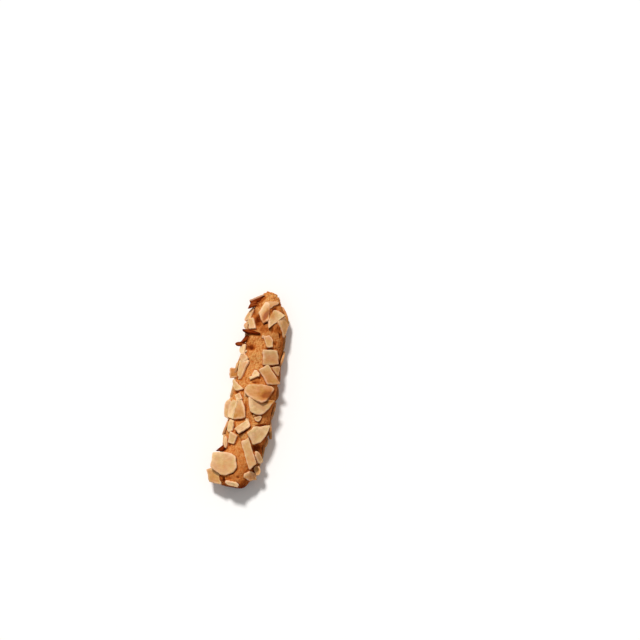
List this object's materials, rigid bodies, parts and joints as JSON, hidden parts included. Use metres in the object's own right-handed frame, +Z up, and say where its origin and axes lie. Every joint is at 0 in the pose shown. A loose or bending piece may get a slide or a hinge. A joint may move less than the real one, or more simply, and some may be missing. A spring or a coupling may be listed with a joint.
{
  "type": "almond cookie",
  "caption": "Finger-shaped baked cookie of crumbly golden dough, covered in broken flakes of sliced almond, lying on its flat baked underside.",
  "frame": {"origin": "middle of the flat underside, on the surface that the cookie lies on", "axes": "+Y along the finger from its foot to its narrower tip, +X to the right seen from above, +Z up from the flat underside"},
  "size_m": [0.0287, 0.1, 0.0189],
  "materials": {
    "baked_dough": "matte",
    "almond": "matte",
    "almond_skin": "matte"
  },
  "bodies": {
    "root": {"almond_cookie": "baked_dough"}
  },
  "joints": []
}
